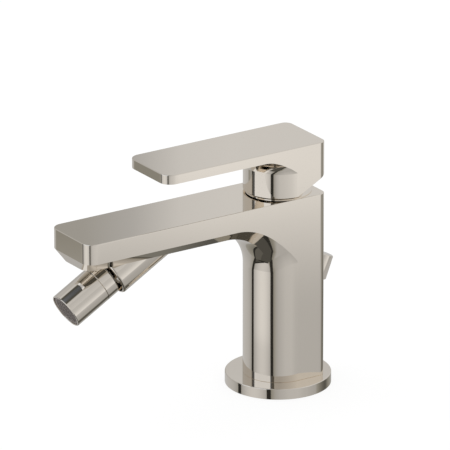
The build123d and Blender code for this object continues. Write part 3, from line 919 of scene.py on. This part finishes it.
keptNodes = {
    "ball_connector": nickel,
    "lever_stem": brass,
    "cartridge_nut": brass,
    "stem_pin": steel,
    "lever_grub_screw": steel,
    "aerator_screen": steel,
    "fixed_disc": ceramic,
    "moving_disc": ceramic,
    "cartridge_base": blackPlastic,
    "rod_guide_bush": blackPlastic,
    "disc_driver": whitePlastic,
    "stem_carrier": whitePlastic,
    "cartridge_housing": whitePlastic,
    "upper_ball_seat": whitePlastic,
    "lower_ball_seat": whitePlastic,
    "base_seal": sealRubber,
    "inlet_seals": sealRubber,
    "disc_gasket": sealRubber,
    "housing_o_ring": sealRubber,
    "connector_washer": sealRubber,
    "seat_seal": sealRubber,
    "aerator_washer": sealRubber,
}
for name, material in keptNodes.items():
    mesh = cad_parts[name].data
    mesh.materials.clear()
    mesh.materials.append(material)
print("kept nodes finished")


# Studio: pale floor, white surroundings, a light tent that only reflections see, one soft lamp, the camera

studio = {
    "floorSize": 12.0,  # metres
    "floorDrop": 0.0002,  # metres below the mixer
    "floorTone": 0.93,
    "floorGlow": 0.80,  # share of the floor's own white, the rest takes light and shadow
    "glowStrength": 1.045,
    "surroundings": 0.95,
}
tent = {
    "radius": 1500.0,
    "bottom": -1450.0,
    "ceiling": 1750.0,
    # tones of the side cards by azimuth (0 is the spout's side): at the foot, at the mixer's level, above it
    "footSides": [
        (-180, 0.10), (-175, 0.16), (-165, 0.28), (-150, 0.35), (-130, 0.46), (-115, 0.56), (-90, 0.55),
        (-70, 0.53), (-56, 0.50), (-48, 0.45), (-40, 0.38), (35, 0.20), (41, 0.27), (50, 0.40), (60, 0.47),
        (80, 0.55), (100, 0.56), (112, 0.52), (118, 0.50), (121, 0.51), (125, 0.485), (145, 0.43),
        (150, 0.33), (160, 0.22), (170, 0.14), (180, 0.10),
    ],
    "levelSides": [
        (-180, 0.60), (-150, 0.60), (-120, 0.56), (-90, 0.58), (-64, 0.50), (-58, 0.48), (-56, 0.27),
        (-50, 0.29), (-46, 0.36), (-40, 0.38), (35, 0.24), (41, 0.34), (50, 0.50), (60, 0.60), (80, 0.64),
        (100, 0.70), (116, 0.80), (118.5, 0.78), (121, 0.86), (124, 0.82), (127, 0.82), (131, 0.60),
        (140, 0.33), (150, 0.26), (160, 0.28), (175, 0.30), (179, 0.60),
    ],
    "upperSides": [
        (-180, 0.68), (-130, 0.67), (-124, 0.665), (-121.5, 0.675), (-120.6, 0.62), (-119.8, 0.50),
        (-119, 0.385), (-116, 0.36), (-100, 0.52), (-40, 0.52), (35, 0.46), (60, 0.48), (100, 0.66),
        (125, 0.78), (180, 0.70),
    ],
    "footHeight": -525.0,
    "levelHeight": -395.0,
    "backClear": (-640.0, -600.0),  # below this height the rear wall is light again
    "backSides": (120, 145),  # azimuths on both sides where the rear wall starts
    "backTone": 0.50,
    "flangeLevel": (-551.0, -541.0),  # the front card is a little darker below this height
    "lowCeiling": (590.0, 650.0, 0.87),  # the upper cards are a little darker below this height
    "upperFrom": -300.0,
    "upperTo": 300.0,
    "sideFade": 0.80,  # the side cards' share of tone left at the floor
    "frontTone": 0.77,
    "frontMiddle": 3.0,
    "frontFall": 0.0004,
    "frontFade": 0.84,
    "frontUpper": 0.92,
    "leftGap": -34.5,
    "rightGap": 36.0,
    "rightGapLean": 14.0,  # degrees that the right gap leans outwards from the mixer's level to the floor
    "gapHalf": 4.6,
    "gapSpread": 1.6,  # how much wider the gaps are above the mixer
    "gapShift": 2.0,  # and how far to the right they move
    "gapTone": 0.028,
    "gapUpper": 0.10,  # their tone above the mixer
    "gapEnd": (700.0, 760.0),
    "cardBlur": 0.5,  # degrees of softness on each side of a card's upright edge
    "edgeBlur": 8.0,  # millimetres of softness of the other edges
    # dark card on the floor: its front edge rises to the left on the wall, its right edge leans
    "edgeHeight": -885.0,
    "edgeSlope": -13.5,
    "edgeWidth": 170.0,
    "darkTones": (0.115, 0.080),
    "darkStep": -300.0,
    "darkFront": 1330.0,
    "darkLeft": (-930.0, -800.0),
    "darkRight": ((470.0, 1.15), (690.0, 0.476)),  # place beside the foot and lean of each stretch
    "darkRightHalf": 45.0,
    "rightFloor": (0.24, 0.46, 350.0),
    "leftFloor": (0.22, 0.34),
    "leftReach": (0.65, 1.0),  # shares of the radius between which the left floor changes its tone
    "backFloor": [
        (-900, 0.24), (-450, 0.19), (-200, 0.15), (0, 0.09), (400, 0.12), (650, 0.30), (1000, 0.38),
    ],
    "backFrom": (-680.0, -600.0),
    "bevelShade": (-760.0, -1010.0, -945.0, 0.09, 0.20),  # what the keel's bevel sees, darker towards the column
    "ceilingCard": (700.0, 950.0, 0.08, 0.60),
    "ceilingBand": (390.0, 170.0, 300.0),  # its middle ahead, half its width, and where it has faded
    "skin": 0.5,  # thickness that tells the floor and the ceiling from the wall
    "warmBelow": (0.25, 0.47),
    "warmth": (0.975, 0.87),  # green and blue left in the darker tones
    "coolness": (1.07, 1.18),  # green and blue of the card above the front, seen only by way of two surfaces
}


def ramped(tree, value, low, high):
    # 0 to 1 with soft ends
    return tree.node("ShaderNodeMapRange", {"interpolation_type": "SMOOTHSTEP"},
                     {"Value": value, "From Min": low, "From Max": high}, "Result")


def stepped(tree, value, low, high):
    # 0 to 1 in a straight line
    return tree.node("ShaderNodeMapRange", {}, {"Value": value, "From Min": low, "From Max": high}, "Result")


def greyRamp(tree, value, stops, low, high):
    # a tone that runs through (value, tone) stops
    places = [((place - low) / (high - low), tone) for place, tone in stops]
    share = stepped(tree, value, low, high)
    return tree.node("ShaderNodeValToRGB", {"stops": places}, {"Fac": share}, "Color")


def greyMix(tree, share, first, second):
    # a number between two numbers
    return tree.node("ShaderNodeMix", {"data_type": "FLOAT"},
                     {"Factor": share, "A": first, "B": second}, "Result")


def tentWall(tree, azimuth, height):
    # the wall's tone, and how much of the cool card above the front there is
    size = tent
    blur = size["cardBlur"]
    foot = greyRamp(tree, azimuth, size["footSides"], -180, 180)
    level = greyRamp(tree, azimuth, size["levelSides"], -180, 180)
    upper = greyRamp(tree, azimuth, size["upperSides"], -180, 180)
    bottom, top = size["backClear"]
    clear = ramped(tree, abs(azimuth), *size["backSides"]) * (1 - ramped(tree, height, bottom, top))
    foot = greyMix(tree, clear, foot, size["backTone"])
    sides = greyMix(tree, ramped(tree, height, size["footHeight"], size["levelHeight"]), foot, level)
    up = ramped(tree, height, size["upperFrom"], size["upperTo"])
    low, high, lowShare = size["lowCeiling"]
    share = 1 - (1 - ramped(tree, height, low, high)) * (1 - lowShare)
    sides = greyMix(tree, up, sides, upper * share)
    down = stepped(tree, height * -1.0, -size["footHeight"], -size["bottom"])
    sides = sides * (1 - down * (1 - size["sideFade"]))
    off = azimuth - size["frontMiddle"]
    front = (1 - off * off * size["frontFall"]) * size["frontTone"]
    low, high = size["flangeLevel"]
    sink = 1 - ramped(tree, height, low, high)
    front = greyMix(tree, up, front * (1 - sink * (1 - size["frontFade"])), share * size["frontUpper"])
    lean = size["rightGap"] + down * size["rightGapLean"]
    inFront = ramped(tree, azimuth, size["leftGap"] - blur, size["leftGap"] + blur)
    inFront = inFront * (1 - ramped(tree, azimuth - lean, -blur, blur))
    wall = greyMix(tree, inFront, sides, front)
    edge = size["edgeHeight"] + (azimuth - size["leftGap"]) * size["edgeSlope"]
    under = ramped(tree, edge - height, 0, size["edgeBlur"])
    dark = ramped(tree, edge - height, size["edgeWidth"], size["edgeWidth"] + size["edgeBlur"])
    wall = greyMix(tree, inFront * under, wall, greyMix(tree, dark, size["gapTone"], size["darkTones"][1]))
    half = up * size["gapSpread"] + size["gapHalf"]
    shift = up * size["gapShift"]
    for offset in (azimuth - size["leftGap"] - shift, azimuth - lean - shift):
        inGap = 1 - ramped(tree, abs(offset) - half, -blur, blur)
        inGap = inGap * (1 - ramped(tree, height, *size["gapEnd"]))
        wall = greyMix(tree, inGap, wall, greyMix(tree, up, size["gapTone"], size["gapUpper"]))
    return wall, inFront * up


def tentFloor(tree, x, ahead):
    # the dark card with its edges, and the floor to the left, to the right and behind
    size = tent
    blur = size["edgeBlur"]
    reach = tree.node("ShaderNodeMath", {"operation": "SQRT"}, {0: x * x + ahead * ahead}) / size["radius"]
    left = greyMix(tree, stepped(tree, reach, *size["leftReach"]), *size["leftFloor"])
    back = greyRamp(tree, x, size["backFloor"], -size["radius"], size["radius"])
    side, dim, bright, dimTone, brightTone = size["bevelShade"]
    bevel = greyMix(tree, ramped(tree, ahead, dim, bright), dimTone, brightTone)
    back = greyMix(tree, 1 - ramped(tree, x, side - blur, side), back, bevel)
    stretches = [ahead * lean + place for place, lean in size["darkRight"]]
    past = x - tree.node("ShaderNodeMath", {"operation": "MINIMUM"}, {0: stretches[0], 1: stretches[1]})
    half = size["darkRightHalf"]
    dim, bright, spread = size["rightFloor"]
    right = greyMix(tree, ramped(tree, past, half, spread), dim, bright)
    step = size["darkStep"]
    tone = greyMix(tree, stepped(tree, x, step - blur / 2, step + blur / 2), *size["darkTones"])
    front = size["darkFront"]
    tone = greyMix(tree, ramped(tree, ahead, front, front + blur), tone, size["gapTone"])
    tone = greyMix(tree, ramped(tree, past, -half - blur, -half), tone, size["gapTone"])
    tone = greyMix(tree, ramped(tree, past, half, half + blur), tone, right)
    outer, inner = size["darkLeft"]
    tone = greyMix(tree, 1 - ramped(tree, x, inner - blur, inner), tone, size["gapTone"])
    tone = greyMix(tree, 1 - ramped(tree, x, outer - blur, outer), tone, left)
    return greyMix(tree, 1 - ramped(tree, ahead, *size["backFrom"]), tone, back)


def makeTent():
    # a closed drum of emitting cards round the mixer
    size = tent
    outline = [(0, size["bottom"]), (size["radius"], size["bottom"]),
               (size["radius"], size["ceiling"]), (0, size["ceiling"])]
    shell = turned("light_tent", outline)
    material, tree = newMaterial("tent_light")
    place = tree.node("ShaderNodeTexCoord", output="Object")
    split = tree.node("ShaderNodeSeparateXYZ", {}, {0: place}).socket.node
    x, y, z = (nodeValue(tree, split.outputs[axis]) / mm for axis in ("X", "Y", "Z"))
    ahead = y * -1.0
    azimuth = tree.node("ShaderNodeMath", {"operation": "ARCTAN2"}, {0: x, 1: ahead}) * (180 / pi)
    wall, cool = tentWall(tree, azimuth, z)
    skin = size["skin"]
    onFloor = 1 - stepped(tree, z, size["bottom"] + skin, size["bottom"] + 2 * skin)
    onCeiling = stepped(tree, z, size["ceiling"] - 2 * skin, size["ceiling"] - skin)
    tone = greyMix(tree, onFloor, wall, tentFloor(tree, x, ahead))
    inner, outer, dark, bright = size["ceilingCard"]
    middle, half, faded = size["ceilingBand"]
    inside = 1 - ramped(tree, abs(x), inner, outer)
    clear = 1 - inside * (1 - ramped(tree, abs(ahead - middle), half, faded))
    tone = greyMix(tree, onCeiling, tone, greyMix(tree, clear, dark, bright))
    light = ramped(tree, tone, *size["warmBelow"])
    shares = []
    for warm, cold in zip(size["warmth"], size["coolness"]):
        shares.append(greyMix(tree, cool, greyMix(tree, light, warm, 1.0), cold))
    colour = tree.node("ShaderNodeCombineColor", {}, {0: tone, 1: tone * shares[0], 2: tone * shares[1]})
    shader = tree.node("ShaderNodeEmission", {}, {"Color": colour, "Strength": 1.0})
    tree.node("ShaderNodeOutputMaterial", {}, {"Surface": shader})
    shell.data.materials.append(material)
    shell.visible_camera = False
    shell.visible_diffuse = False
    shell.visible_shadow = False
    shell.visible_transmission = False


def makeWorld():
    world = bpy.data.worlds.new("studio")
    bpy.context.scene.world = world
    world.use_nodes = True
    world.node_tree.nodes.clear()
    tree = nodeTree(world.node_tree)
    rays = tree.node("ShaderNodeLightPath").socket.node
    kinds = ("Is Camera Ray", "Is Glossy Ray", "Is Transmission Ray")
    camera, glossy, through = (nodeValue(tree, rays.outputs[kind]) for kind in kinds)
    seen = tree.node("ShaderNodeMath", {"operation": "MINIMUM"}, {0: camera + glossy + through, 1: 1.0})
    tone = greyMix(tree, seen, studio["surroundings"], 1.0)
    shader = tree.node("ShaderNodeBackground", {}, {"Color": tone, "Strength": 1.0})
    tree.node("ShaderNodeOutputWorld", {}, {"Surface": shader})


def makeFloor():
    half = studio["floorSize"] / 2 / mm
    drop = -studio["floorDrop"] / mm
    corners = [(-half, -half, drop), (half, -half, drop), (half, half, drop), (-half, half, drop)]
    floor = meshPiece("floor", corners, [(0, 1, 2, 3)])
    material, tree = newMaterial("pale_floor")
    tone = (studio["floorTone"],) * 3 + (1,)
    lit = tree.node("ShaderNodeBsdfDiffuse", {}, {"Color": tone})
    glow = tree.node("ShaderNodeEmission", {}, {"Color": (1, 1, 1, 1), "Strength": studio["glowStrength"]})
    mixed = tree.node("ShaderNodeMixShader", {}, {"Fac": studio["floorGlow"], 1: lit, 2: glow})
    tree.node("ShaderNodeOutputMaterial", {}, {"Surface": mixed})
    floor.data.materials.append(material)
    floor.visible_glossy = False


lamp = {"size": 0.9, "power": 3.0, "place": (-0.5, -0.7, 1.3), "aim": (0, -0.03, 0.05)}  # metres, watts


def makeLamp():
    light = bpy.data.lights.new("softbox", "AREA")
    light.size = lamp["size"]
    light.energy = lamp["power"]
    box = bpy.data.objects.new("softbox", light)
    bpy.context.scene.collection.objects.link(box)
    box.location = lamp["place"]
    aim = Vector(lamp["place"]) - Vector(lamp["aim"])
    box.rotation_euler = aim.to_track_quat("Z", "Y").to_euler()
    box.visible_glossy = False


view = {
    "azimuth": 56.7,
    "elevation": 20.3,
    "target": (0.0, -0.0345, 0.0971),
    "width": 0.2421,  # seen across the picture at the target
    "distance": 4.0,
    "farthest": 100.0,
    "sensor": 36.0,
}


def makeCamera():
    turn = radians(view["azimuth"])
    climb = radians(view["elevation"])
    back = Vector((sin(turn) * cos(climb), -cos(turn) * cos(climb), sin(climb)))
    data = bpy.data.cameras.new("photo_view")
    data.sensor_width = view["sensor"]
    data.lens = view["sensor"] * view["distance"] / view["width"]
    data.clip_end = view["farthest"]
    camera = bpy.data.objects.new("photo_view", data)
    bpy.context.scene.collection.objects.link(camera)
    camera.location = Vector(view["target"]) + back * view["distance"]
    camera.rotation_euler = back.to_track_quat("Z", "Y").to_euler()
    bpy.context.scene.camera = camera


makeWorld()
makeTent()
makeFloor()
makeLamp()
makeCamera()
bpy.context.scene.view_settings.view_transform = "Standard"
print("studio ready")

bpy.context.view_layer.update()
